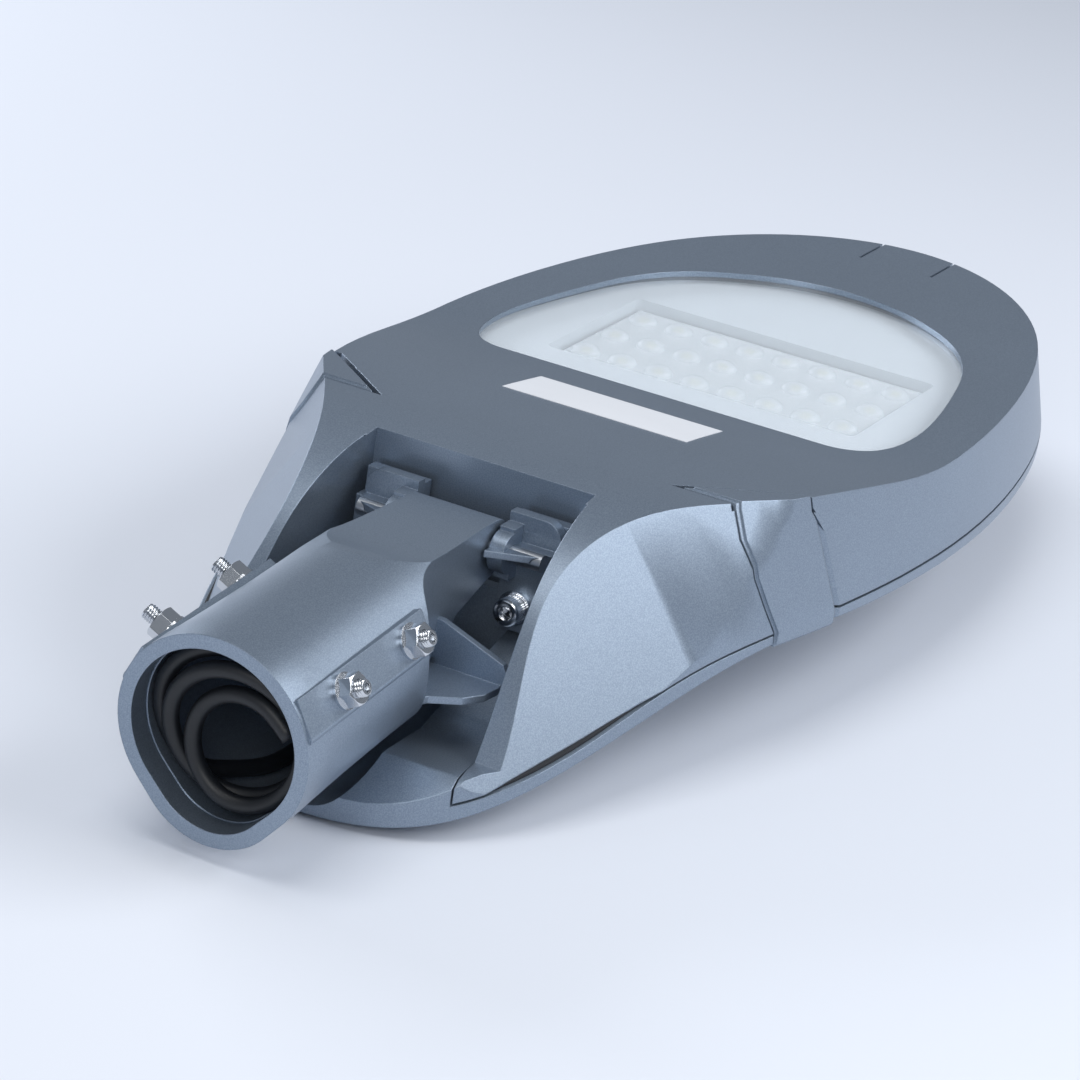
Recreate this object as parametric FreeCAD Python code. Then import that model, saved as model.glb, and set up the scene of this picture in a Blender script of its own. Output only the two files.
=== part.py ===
import FreeCAD, Part
import math
import os

os.makedirs("parts", exist_ok=True)
V = FreeCAD.Vector

# Street light head, lying on its top housing with the lamp window up, as in the photo.
# X runs from the pole spigot to the tip, Y is across, Z is up. Sizes are in millimetres.
# The origin is the middle of the spigot mouth.

# Walls and clearances
wall = 3.0
floorWall = 4.0
rimWidth = 9.0
gasketHeight = 1.2
seatGap = 0.3
shaftFit = 0.06

# Outline at the joint between housing and cover: distance from the mouth, half width
outlinePoints = [(72, 0), (75, 36), (83, 56), (99, 74), (122, 88), (157, 101), (205, 114), (255, 127),
                 (310, 139), (370, 147), (430, 150.5), (490, 148.5), (550, 141), (605, 129),
                 (655, 111), (695, 87), (723, 60), (740, 31), (746, 0)]
sideTop = 3.0
ringTop = 43.0
sideDraft = 0.22
# Height of that joint along the head, and of the cover's outer surface
jointProfile = [(30, -57), (76, -46), (119, -33), (157, -21.5), (190, -11), (225, -3), (270, 1.5), (320, 3), (400, 3)]
coverRear = [(30, -66), (75, -44.5), (97, -30.5), (106, -29), (114, -29)]
coverSlope = [(114, -29), (137, 4), (160, 34), (189, 53), (222, 61.5), (262, 61.5), (353, 52), (410, 44.6), (450, 43)]
# Underside of the housing: distance, half width there, joint height, lowest point
bellySections = [(40, 80, -54, -57), (110, 86, -42, -58.5), (170, 108, -24, -58.5), (240, 124, -8, -56),
                 (330, 142, -3, -50), (460, 152, -3, -39), (600, 132, -3, -24), (700, 90, -3, -11), (770, 60, -3, -5)]
flankPoint = (255, 104, 60)
flankNormal = (-0.425, 0.785, 0.45)

# Recess for the spigot
recessBack = 222.0
recessHalfBack = 56.0
recessRear = 114.0
recessHalfRear = 66.0
recessFloor = -30.0
slotHalf = 30.0
slotFloor = -53.5
lipGap = 0.8
lipEnd = 132.0

# Spigot
mouthRadius = 46.0
boreRadius = 39.0
registerRadius = 39.4
registerLength = 12.0
seatRadius = 36.0
seatDrop = 15.4
boreSeat = 28.6
tubeLength = 104.0
pivotX = 197.0
pivotZ = 33.0
tubeTilt = 5.2
drumRadius = 13.4
drumHalf = 22.0
shaftRadius = 4.0
shaftHalf = 47.0
screwStations = (33.3, 88.3)
screwAngle = 27.0
padRadius = 46.6
padLow = 9.0
padHigh = 11.0
# Draft of the tube: distance from the mouth, radius lost
tubeDraft = [(0, 0), (12, 0), (60, 1.6), (104, 2.2)]
# Neck between tube and hub: half width seen from above, top line and underside, all along the tube's own line
neckPlan = [(94, 52), (101, 46), (106, 42), (111, 37.5), (115, 33), (121, 28.5), (129, 26), (143, 24.6), (165, 23.4), (185, 22.4), (200, 22)]
neckTop = [(94, 47), (104, 44.4), (115, 41), (126, 37.5), (142, 34.4), (170, 31.4)]
neckUnder = [(166, -4), (135, -19), (114, -36), (104, -48), (94, -60)]
# Wing and rib on each side of the neck: plan of the wing, then the rib seen from the mouth
wingPlan = [(100, 36), (112, 41), (121, 53), (131, 58.5), (141, 59.5), (147, 58.5), (149, 20), (112, 20)]
wingTop = -5.0
wingThickness = 3.4
ribPoints = [(18, -7), (18, 16), (27, 16), (59, 4.5), (61, 1), (60, -7)]
ribX = (144.5, 148.0)

# M8 and smaller fasteners
m8Radius = 4.0
m8NutFlats = 13.0
m8NutHeight = 6.8
m8WasherRadius = 8.0
m8WasherHeight = 1.6
m8HeadRadius = 6.5
m8HeadHeight = 8.0
m8Socket = 6.0
grubLengths = {1: 22.0, -1: 19.0}
grubSocket = 4.0

# Clamp blocks either side of the hub
bulkheadX = 212.0
bulkheadThickness = 6.5
bulkheadHalf = 53.0
bulkheadTop = 46.5
blockInner = 23.5
blockOuter = 53.0
clampY = 33.0
clampFoot = -5.8
clampZ = 5.5

# Lamp window and optics
windowPoints = [(407, 87), (409.5, 97), (417, 105.5), (430, 111.5), (455, 115), (490, 112.5), (530, 105),
                (570, 94), (600, 77), (622, 52), (635, 26), (639, 0)]
glassLap = 7.0
glassThickness = 4.0
sealWidth = 3.0
moduleX = (453.0, 558.0)
moduleHalf = 85.0
trayThickness = 4.0
trayTop = 17.0
boardThickness = 1.6
panelThickness = 1.6
panelTop = 32.6
lensRows = 3
lensColumns = 8
lensPitchX = 33.0
lensPitchY = 20.5
lensRadius = 8.6
lensHeight = 6.0
lensBase = 1.6

# Cable
cableRadius = 3.8
coilStart = 14.0
coilLength = 26.0
coilInner = 25.0

# The hub in the spigot's own line
drumS = pivotX * math.cos(math.radians(tubeTilt)) + pivotZ * math.sin(math.radians(tubeTilt))
drumZ = pivotZ * math.cos(math.radians(tubeTilt)) - pivotX * math.sin(math.radians(tubeTilt))

# Latches: outline from the side, inboard edge from above, and their pins
latchPoints = [(268, 75), (261, 60), (258.5, 47), (260.5, 30), (267, 14), (272.5, 2), (273, -4.5), (351, -4.5),
               (344, 4), (327.5, 22.7), (313.7, 38.6), (303.5, 52), (301, 75)]
latchEdge = ((266, 86), (306, 128))
latchThickness = 2.6
latchSink = 1.4
latchStep = 1.3
latchGap = 0.8
latchTabGap = 3.2
latchTabDepth = 12.5
latchTabSide = 2.0
latchPin = (282, 114.3, 50.7)
latchAxis = (0.904, 0.406, -0.136)
latchUp = (-0.2, 0.46, 0.86)
latchPinRadius = 1.5
latchPinHalf = 18.0
latchLugHalf = 12.0
latchLugRadius = 3.2

# Hinge at the tip
hingeX = 749.0
hingeZ = 3.0
hingeRadius = 4.5
hingePinRadius = 2.0

# Carriers inside
postRadius = 6.0
stiffX = (444.0, 572.0)
ribRows = ((-60, 2), (-30, 2), (0, 2), (30, 2), (60, 2))
trayPosts = ((446, -86), (446, 86), (568, -86), (568, 86))
trayScrews = trayPosts
m4Radius = 2.0
m3Radius = 1.5
boardScrews = ((489, -76), (489, 76), (522, -76), (522, 76))
gearTop = -22.0
gearThickness = 2.0
gearPosts = ((240, -68), (240, 68), (382, -68), (382, 68))
gearScrews = gearPosts
glandZ = -29.85
glandThread = 8.0
labelX = 353.0
terminalX = 238.0


def save(shape, name):
    solids = shape.Solids
    if len(solids) != 1 or not shape.isValid():
        print("look at", name, len(solids), shape.isValid())
    shape.exportStep("parts/" + name + ".step")
    box = shape.BoundBox
    print(name, [round(value, 1) for value in (box.XMin, box.XMax, box.YMin, box.YMax, box.ZMin, box.ZMax)])


def biggest(shape):
    return max(shape.Solids, key=lambda solid: solid.Volume)


def box(x0, x1, y0, y1, z0, z1):
    return Part.makeBox(x1 - x0, y1 - y0, z1 - z0, V(x0, y0, z0))


def shifted(points, distance, closed):
    # Moves every point square to the line through its neighbours, to its right
    moved = []
    count = len(points)
    for index in range(count):
        before = points[(index - 1) % count] if closed else points[max(index - 1, 0)]
        after = points[(index + 1) % count] if closed else points[min(index + 1, count - 1)]
        run = (after[0] - before[0], after[1] - before[1])
        length = math.hypot(run[0], run[1])
        moved.append((points[index][0] + distance * run[1] / length, points[index][1] - distance * run[0] / length))
    return moved


def closedCurve(points, inset, height):
    ring = points + [(x, -y) for x, y in reversed(points) if y != 0]
    curve = Part.BSplineCurve()
    curve.interpolate([V(x, y, height) for x, y in shifted(ring, inset, True)], PeriodicFlag=True)
    return Part.Wire([curve.toShape()])


def outlineWire(inset, height):
    return closedCurve(outlinePoints, inset, height)


def windowWire(inset, height):
    half = shifted([(407, 60)] + windowPoints + [(635, -26)], inset, False)[1:-1]
    half[0] = (half[0][0], half[0][1])
    points = half + [(x, -y) for x, y in reversed(half[:-1])]
    curve = Part.BSplineCurve()
    curve.interpolate([V(x, y, height) for x, y in points])
    edge = Part.makeLine(V(points[-1][0], points[-1][1], height), V(points[0][0], points[0][1], height))
    return Part.Wire([edge, curve.toShape()])


def prism(wire, depth):
    return Part.Face(wire).extrude(V(0, 0, depth))


def sideBlock(inset):
    top = 75.0
    draw = (top - sideTop) * sideDraft
    sections = [outlineWire(inset, -80), outlineWire(inset, sideTop), outlineWire(inset + draw, top)]
    return Part.makeLoft(sections, True, True)


def under(lower, curve, depth):
    # Everything below an edge line that runs along the head, drawn in the XZ plane
    points = [V(x, -250, z) for x, z in lower]
    edges = [Part.makeLine(points[index], points[index + 1]) for index in range(len(points) - 1)]
    start = V(curve[0][0], -250, curve[0][1])
    if points and (points[-1] - start).Length > 0.01:
        edges.append(Part.makeLine(points[-1], start))
    spline = Part.BSplineCurve()
    spline.interpolate([V(x, -250, z) for x, z in curve])
    edges.append(spline.toShape())
    end = V(curve[-1][0], -250, curve[-1][1])
    far = V(820, -250, curve[-1][1])
    first = points[0] if points else start
    edges.append(Part.makeLine(end, far))
    edges.append(Part.makeLine(far, V(820, -250, -depth)))
    edges.append(Part.makeLine(V(820, -250, -depth), V(first.x, -250, -depth)))
    edges.append(Part.makeLine(V(first.x, -250, -depth), first))
    return Part.Face(Part.Wire(edges)).extrude(V(0, 500, 0))


def jointUnder(rise):
    return under([], shifted(jointProfile, -rise, False), 120)


def coverUnder(inset):
    return under(shifted(coverRear, inset, False)[:-1], shifted(coverSlope, inset, False), 120)


def flankCutter(side, inset):
    normal = V(flankNormal[0], side * flankNormal[1], flankNormal[2])
    normal.normalize()
    cutter = Part.makeBox(700, 700, 200, V(-350, -350, 0))
    cutter.Placement = FreeCAD.Placement(V(flankPoint[0], side * flankPoint[1], flankPoint[2]) - normal * inset,
                                         FreeCAD.Rotation(V(0, 0, 1), normal))
    return cutter


def coverBlock(inset):
    block = sideBlock(inset).common(coverUnder(inset))
    return block.cut(flankCutter(1, inset)).cut(flankCutter(-1, inset))


def bellyBlock(inset):
    sections = []
    for x, half, rim, low in bellySections:
        points = []
        for step in (-1.1, -0.55, 0, 0.55, 1.1):
            height = rim - (rim - low) * (1 - abs(step) ** 1.5) + inset * 1.05
            points.append(V(x, step * half, height))
        curve = Part.BSplineCurve()
        curve.interpolate(points)
        left = V(x, points[0].y, 90)
        right = V(x, points[-1].y, 90)
        lines = [Part.makeLine(points[-1], right), Part.makeLine(right, left), Part.makeLine(left, points[0])]
        sections.append(Part.Wire([curve.toShape()] + lines))
    return Part.makeLoft(sections, True, False)


def recessPrism(grow, low):
    points = [(recessBack + grow, recessHalfBack + grow), (recessRear, recessHalfRear + grow), (20, 76 + grow)]
    corners = [V(x, y, low) for x, y in points] + [V(x, -y, low) for x, y in reversed(points)]
    return Part.Face(Part.makePolygon(corners + corners[:1])).extrude(V(0, 0, 160))


def tubeSlot(grow, end):
    slot = box(20, end + grow, -slotHalf - grow, slotHalf + grow, slotFloor - grow, 100)
    edges = [edge for edge in slot.Edges if abs(edge.CenterOfMass.z - (slotFloor - grow)) < 0.01
             and abs(edge.CenterOfMass.y) > slotHalf - 1]
    return slot.makeFillet(24 + grow, edges)


def tilted(shape):
    # Carries a shape drawn along the X axis through the mouth to the spigot's tilt
    turned = shape.copy()
    turned.rotate(V(0, 0, 0), V(0, 1, 0), -tubeTilt)
    return turned


def egg(x, radius, centre, small, drop):
    # Round on top, flat sides closing in to a smaller round seat
    low = math.asin(-(radius - small) / drop)
    right = V(x, radius * math.cos(low), centre + radius * math.sin(low))
    left = V(x, -right.y, right.z)
    seatRight = V(x, small * math.cos(low), centre - drop + small * math.sin(low))
    seatLeft = V(x, -seatRight.y, seatRight.z)
    edges = [Part.Arc(right, V(x, 0, centre + radius), left).toShape(),
             Part.makeLine(left, seatLeft),
             Part.Arc(seatLeft, V(x, 0, centre - drop - small), seatRight).toShape(),
             Part.makeLine(seatRight, right)]
    return Part.Wire(edges)


def rod(start, direction, radius, length):
    return Part.makeCylinder(radius, length, start, direction)


def hexagon(flats, height, base):
    reach = flats / math.sqrt(3)
    corners = [V(reach * math.cos(math.radians(60 * step)), reach * math.sin(math.radians(60 * step)), base)
               for step in range(6)]
    return Part.Face(Part.makePolygon(corners + corners[:1])).extrude(V(0, 0, height))


def along(shape, origin, direction):
    # Carries a shape drawn up the Z axis to a place and direction
    moved = shape.copy()
    moved.Placement = FreeCAD.Placement(origin, FreeCAD.Rotation(V(0, 0, 1), direction)).multiply(shape.Placement)
    return moved


def onSpigot(shape, station, side):
    # Carries a shape drawn up the Z axis to a grub screw's station on the spigot
    angle = math.radians(screwAngle)
    return tilted(along(shape, V(station, 0, 0), V(0, side * math.cos(angle), math.sin(angle))))


def posts(places, radius, top):
    shape = None
    for x, y in places:
        post = rod(V(x, y, -75), V(0, 0, 1), radius, top + 75)
        shape = post if shape is None else shape.fuse(post)
    return shape


def hingeKnuckle(y0, y1, radius):
    return rod(V(hingeX, y0, hingeZ), V(0, 1, 0), radius, y1 - y0)


def flip(shape, side):
    return shape if side > 0 else shape.mirror(V(0, 0, 0), V(0, 1, 0))


def latchPrism(side, grow, inboard):
    # Everything behind the latch's outline, grown sideways and past its inboard edge
    corners = [V(x, 0, z) for x, z in shifted(latchPoints, grow, True)]
    outline = Part.Face(Part.makePolygon(corners + corners[:1])).extrude(V(0, 220, 0))
    first = V(latchEdge[0][0], latchEdge[0][1], -90)
    last = V(latchEdge[1][0], latchEdge[1][1], -90)
    run = (last - first).normalize()
    out = V(-run.y, run.x, 0)
    base = [first - run * 80 - out * inboard, last + run * 80 - out * inboard]
    base = base + [base[1] + out * 180, base[0] + out * 180]
    outboard = Part.Face(Part.makePolygon(base + base[:1])).extrude(V(0, 0, 200))
    return flip(outline.common(outboard), side)


def atLatchPin(shape, side):
    # Carries a shape drawn with the pin along X, outboard along Y and outwards along Z
    axis = V(*latchAxis).normalize()
    up = V(*latchUp)
    up = (up - axis * up.dot(axis)).normalize()
    outboard = up.cross(axis)
    matrix = FreeCAD.Matrix(axis.x, outboard.x, up.x, latchPin[0], axis.y, outboard.y, up.y, latchPin[1],
                            axis.z, outboard.z, up.z, latchPin[2], 0, 0, 0, 1)
    moved = shape.copy()
    moved.Placement = FreeCAD.Placement(matrix)
    return flip(moved, side)


def latchLug(side):
    lug = rod(V(-latchLugHalf, 0, 0), V(1, 0, 0), latchLugRadius, 2 * latchLugHalf)
    return atLatchPin(lug.fuse(box(-latchLugHalf, latchLugHalf, -2.5, 2.5, 0, 5)), side)


def latchLugPocket(side):
    half = latchLugHalf + 0.5
    pocket = rod(V(-half, 0, 0), V(1, 0, 0), latchLugRadius + 0.5, 2 * half)
    return atLatchPin(pocket.fuse(box(-half, half, -5, 3.2, 0, 9)), side)


def latchPinRod(side, radius, half):
    return atLatchPin(rod(V(-half, 0, 0), V(1, 0, 0), radius, 2 * half), side)


def latchTabPocket(side, extra):
    # Room under the latch's inboard tab, which dips as the latch opens
    prism = latchPrism(side, latchTabSide + extra, latchTabGap + extra)
    deep = prism.common(atLatchPin(box(-60, 60, -60, -4.2 + extra, -40, 40), side)).cut(coverBlock(latchTabDepth + extra))
    slanted = box(-60, 60, -9, 0, 0, 40)
    slanted.rotate(V(0, 0, 0), V(1, 0, 0), 22)
    slanted.translate(V(0, 0.6 + extra, 2.6 - extra))
    shallow = prism.common(atLatchPin(slanted, side)).cut(coverBlock(latchTabDepth + extra))
    return deep.fuse(shallow)


def rearLip(inset):
    # Lip and floor under the spigot. The housing carries them, so that the cover lifts clear of the spigot
    lip = coverBlock(inset).common(recessPrism(-lipGap - inset, -100)).common(box(20, lipEnd - inset, -90, 90, -100, 20))
    return lip.cut(recessPrism(20, recessFloor - inset)).cut(tubeSlot(inset, bulkheadX))


def makeHousing():
    outer = sideBlock(0).common(bellyBlock(0))
    shell = outer.common(jointUnder(-gasketHeight / 2))
    cavity = sideBlock(floorWall).common(bellyBlock(floorWall))
    deck = recessPrism(wall, -100).cut(jointUnder(-gasketHeight / 2 - floorWall))
    deck = deck.cut(rearLip(wall))
    cavity = cavity.fuse(rearLip(wall).common(bellyBlock(floorWall))).cut(deck).cut(tubeSlot(wall, bulkheadX + bulkheadThickness))
    rim = sideBlock(0).cut(sideBlock(rimWidth)).cut(jointUnder(-gasketHeight / 2 - 5))
    cavity = cavity.cut(rim)
    for x, half in ribRows:
        cavity = cavity.cut(box(stiffX[0], stiffX[1], x - half, x + half, -80, trayTop - trayThickness))
    cavity = cavity.cut(posts(trayPosts, postRadius, trayTop - trayThickness))
    cavity = cavity.cut(posts(gearPosts, postRadius, gearTop - gearThickness))
    shell = shell.fuse(rearLip(0).common(bellyBlock(0))).cut(cavity).cut(tubeSlot(0, bulkheadX))
    raised = posts(trayPosts, postRadius, trayTop - trayThickness)
    for x, half in ribRows:
        raised = raised.fuse(box(stiffX[0], stiffX[1], x - half, x + half, -20, trayTop - trayThickness))
    shell = shell.fuse(raised.common(bellyBlock(1)))
    wallPlate = box(bulkheadX, bulkheadX + bulkheadThickness, -bulkheadHalf, bulkheadHalf, slotFloor + 4, bulkheadTop)
    hubWindow = box(bulkheadX - 1, bulkheadX + 20, -drumHalf - 1.5, drumHalf + 1.5, 8, 90)
    shell = shell.fuse(wallPlate.common(bellyBlock(1)).cut(hubWindow))
    for side in (1, -1):
        shell = shell.cut(rod(V(bulkheadX - 1, side * clampY, clampZ), V(1, 0, 0), m8Radius + shaftFit, 12))
        shell = shell.cut(latchPrism(side, latchGap, latchTabGap).cut(sideBlock(latchSink + 1)))
        ear = hingeKnuckle(side * 15 - 4.8, side * 15 + 4.8, hingeRadius)
        root = box(hingeX - 14, hingeX, side * 15 - 4.8, side * 15 + 4.8, -3, sideTop - gasketHeight / 2 - 0.2)
        shell = shell.fuse(ear.fuse(root.common(bellyBlock(0))))
    shell = shell.cut(hingeKnuckle(-10.2, 10.2, hingeRadius + 0.6))
    shell = shell.cut(hingeKnuckle(-25, 25, hingePinRadius + shaftFit))
    shell = shell.cut(rod(V(bulkheadX - 1, 0, glandZ), V(1, 0, 0), glandThread + shaftFit, 14))
    for x, y in trayScrews + gearScrews:
        top = (trayTop - trayThickness) if (x, y) in trayScrews else (gearTop - gearThickness)
        shell = shell.cut(rod(V(x, y, top - 9), V(0, 0, 1), m4Radius + shaftFit, 12))
    return biggest(shell)


def makeCover():
    outer = coverBlock(0).cut(recessPrism(0, -100)).cut(tubeSlot(0, recessBack - 1))
    inner = coverBlock(wall).cut(recessPrism(wall, -100)).cut(tubeSlot(wall, recessBack - 1))
    for side in (1, -1):
        inner = inner.cut(latchPrism(side, latchGap + 3, latchTabGap + 3).cut(coverBlock(wall + latchSink)))
        inner = inner.cut(latchTabPocket(side, wall))
        inner = inner.cut(latchPinRod(side, latchLugRadius + 4, latchPinHalf + 2))
    shell = outer.cut(inner)
    rim = coverBlock(0).cut(sideBlock(rimWidth)).cut(recessPrism(0, -100))
    rim = rim.common(jointUnder(gasketHeight / 2 + 4)).cut(tubeSlot(0, recessBack - 1))
    shell = shell.fuse(rim)
    for side in (1, -1):
        shell = shell.cut(latchPrism(side, latchGap, latchTabGap).cut(coverBlock(latchSink + 1)))
        shell = shell.cut(latchTabPocket(side, 0)).cut(latchLugPocket(side))
        shell = shell.cut(latchPinRod(side, latchPinRadius + shaftFit, latchPinHalf + 0.2))
        slit = box(hingeX - 48, hingeX + 10, side * 21 - 0.7, side * 21 + 0.7, ringTop - 2.2, ringTop + 5)
        shell = shell.cut(slit)
    shell = shell.cut(jointUnder(gasketHeight / 2))
    shell = shell.cut(prism(windowWire(0, ringTop - 20), 60))
    knuckle = hingeKnuckle(-9.8, 9.8, hingeRadius)
    root = box(hingeX - 12, hingeX, -9.8, 9.8, sideTop + gasketHeight / 2 + 0.2, hingeZ + hingeRadius)
    shell = shell.fuse(knuckle.fuse(root))
    for side in (1, -1):
        shell = shell.cut(hingeKnuckle(side * 15 - 5.3, side * 15 + 5.3, hingeRadius + 0.6))
    shell = shell.cut(hingeKnuckle(-25, 25, hingePinRadius + shaftFit))
    return biggest(shell)


def makeGasket():
    ring = sideBlock(2.0).cut(sideBlock(rimWidth - 2))
    ring = ring.cut(recessPrism(0.3, -100))
    strip = recessPrism(wall, -100).cut(recessPrism(0.3, -110)).common(sideBlock(2.0))
    seal = ring.fuse(strip).cut(tubeSlot(0.3, recessBack - 1))
    seal = seal.common(jointUnder(gasketHeight / 2)).cut(jointUnder(-gasketHeight / 2))
    for side in (1, -1):
        seal = seal.cut(latchPrism(side, latchGap, latchTabGap).cut(sideBlock(latchSink + 1)))
    return biggest(seal)


def makeGlass():
    top = ringTop - wall
    pane = prism(windowWire(-glassLap, top - glassThickness), glassThickness)
    frame = prism(windowWire(-glassLap - sealWidth, top - glassThickness), glassThickness)
    return pane, frame.cut(prism(windowWire(-glassLap - 0.2, top - glassThickness - 1), glassThickness + 2))


def makePanel():
    panel = prism(windowWire(-glassLap, panelTop - panelThickness), panelThickness)
    x0, x1 = moduleX
    well = box(x0 - panelThickness, x1 + panelThickness, -moduleHalf - panelThickness, moduleHalf + panelThickness,
               trayTop, panelTop)
    upright = [edge for edge in well.Edges if abs(edge.tangentAt(edge.FirstParameter).z) > 0.9]
    well = well.makeFillet(5, upright)
    opening = box(x0, x1, -moduleHalf, moduleHalf, trayTop - 1, panelTop + 1)
    upright = [edge for edge in opening.Edges if abs(edge.tangentAt(edge.FirstParameter).z) > 0.9]
    return panel.fuse(well).cut(opening.makeFillet(3.5, upright))


def makeTray():
    tray = box(stiffX[0] - 8, stiffX[1] + 8, -97, 97, trayTop - trayThickness, trayTop)
    upright = [edge for edge in tray.Edges if abs(edge.tangentAt(edge.FirstParameter).z) > 0.9]
    tray = tray.makeFillet(8, upright)
    for x, y in trayScrews:
        tray = tray.cut(rod(V(x, y, 0), V(0, 0, 1), m4Radius + 0.3, 30))
    for x, y in boardScrews:
        tray = tray.cut(rod(V(x, y, 0), V(0, 0, 1), m3Radius + shaftFit, 30))
    return tray


def makeBoard():
    x0, x1 = moduleX
    board = box(x0 + 3, x1 - 3, -moduleHalf + 3, moduleHalf - 3, trayTop, trayTop + boardThickness)
    for x, y in boardScrews:
        board = board.cut(rod(V(x, y, 0), V(0, 0, 1), m3Radius + 0.2, 30))
    return board


def makeLensStrip(row):
    x = lensX(row)
    base = trayTop + boardThickness
    half = lensPitchY * lensColumns / 2 - 1
    strip = box(x - 11, x + 11, -half, half, base, base + lensBase)
    for column in range(lensColumns):
        y = lensPitchY * (column - (lensColumns - 1) / 2)
        dome = Part.makeSphere(1)
        matrix = FreeCAD.Matrix()
        matrix.scale(V(lensRadius, lensRadius, lensHeight))
        dome = dome.transformGeometry(matrix)
        dome.translate(V(x, y, base + lensBase))
        upper = box(x - 15, x + 15, y - 15, y + 15, base + lensBase - 0.5, base + 20)
        strip = strip.fuse(dome.common(upper))
    return biggest(strip)


def lensX(row):
    return (moduleX[0] + moduleX[1]) / 2 + lensPitchX * (row - (lensRows - 1) / 2)


def panScrew(x, y, seat, radius, length):
    shank = rod(V(x, y, seat - length), V(0, 0, 1), radius, length)
    head = rod(V(x, y, seat), V(0, 0, 1), radius * 2, radius * 1.2)
    cross = box(x - radius * 1.1, x + radius * 1.1, y - 0.4, y + 0.4, seat + radius * 0.5, seat + radius * 2)
    cross = cross.fuse(box(x - 0.4, x + 0.4, y - radius * 1.1, y + radius * 1.1, seat + radius * 0.5, seat + radius * 2))
    return shank.fuse(head).cut(cross)


def makeGearPlate():
    plate = box(234, 390, -78, 78, gearTop - gearThickness, gearTop)
    upright = [edge for edge in plate.Edges if abs(edge.tangentAt(edge.FirstParameter).z) > 0.9]
    plate = plate.makeFillet(10, upright)
    for x, y in gearScrews:
        plate = plate.cut(rod(V(x, y, -60), V(0, 0, 1), m4Radius + 0.3, 80))
    return plate


def makeDriver():
    body = box(318, 380, -62, 62, gearTop, gearTop + 33)
    soft = [edge for edge in body.Edges if abs(edge.tangentAt(edge.FirstParameter).y) > 0.9
            and edge.CenterOfMass.z > gearTop + 10]
    body = body.makeFillet(4, soft)
    ears = box(328, 370, -70, 70, gearTop, gearTop + 3)
    return body.fuse(ears)


def makeTerminals():
    block = box(terminalX, terminalX + 26, -32, 32, gearTop, gearTop + 20)
    soft = [edge for edge in block.Edges if abs(edge.tangentAt(edge.FirstParameter).y) > 0.9
            and edge.CenterOfMass.z > gearTop + 10]
    block = block.makeFillet(2, soft)
    for way in range(5):
        y = -24 + 12 * way
        block = block.cut(rod(V(terminalX + 7, y, gearTop + 15), V(0, 0, 1), 2.6, 10))
        block = block.cut(rod(V(terminalX + 19, y, gearTop + 15), V(0, 0, 1), 2.6, 10))
        block = block.cut(rod(V(terminalX - 2, y, gearTop + 8), V(1, 0, 0), 2.4, 9))
    return block


def makeSurge():
    body = box(272, 308, -60, -14, gearTop, gearTop + 26)
    soft = [edge for edge in body.Edges if edge.CenterOfMass.z > gearTop + 25.9]
    return body.makeFillet(3, soft)


def sideProfile(points, half):
    corners = [V(x, -half, z) for x, z in points]
    return Part.Face(Part.makePolygon(corners + corners[:1])).extrude(V(0, 2 * half, 0))


def makeNeck():
    # Tube carried on to the hub, scooped at both sides and planed on top
    block = Part.Face(egg(94, mouthRadius - 2.2, 0, seatRadius - 2.2, seatDrop)).extrude(V(drumS - 94, 0, 0))
    left = Part.BSplineCurve()
    left.interpolate([V(x, y, -70) for x, y in neckPlan])
    right = Part.BSplineCurve()
    right.interpolate([V(x, -y, -70) for x, y in reversed(neckPlan)])
    ends = [V(neckPlan[-1][0], neckPlan[-1][1], -70), V(neckPlan[0][0], neckPlan[0][1], -70)]
    flipped = [V(point.x, -point.y, point.z) for point in ends]
    plan = Part.Wire([left.toShape(), Part.makeLine(ends[0], flipped[0]), right.toShape(), Part.makeLine(flipped[1], ends[1])])
    block = block.common(Part.Face(plan).extrude(V(0, 0, 140)))
    top = Part.BSplineCurve()
    top.interpolate([V(x, -60, z) for x, z in neckTop + [(drumS, drumZ + drumRadius)]])
    corners = [V(drumS, -60, drumZ + drumRadius), V(drumS, -60, drumZ - drumRadius)]
    corners = corners + [V(x, -60, z) for x, z in neckUnder] + [V(neckTop[0][0], -60, neckTop[0][1])]
    lines = [Part.makeLine(corners[index], corners[index + 1]) for index in range(len(corners) - 1)]
    profile = Part.Face(Part.Wire([top.toShape()] + lines)).extrude(V(0, 120, 0))
    return block.common(profile)


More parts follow.
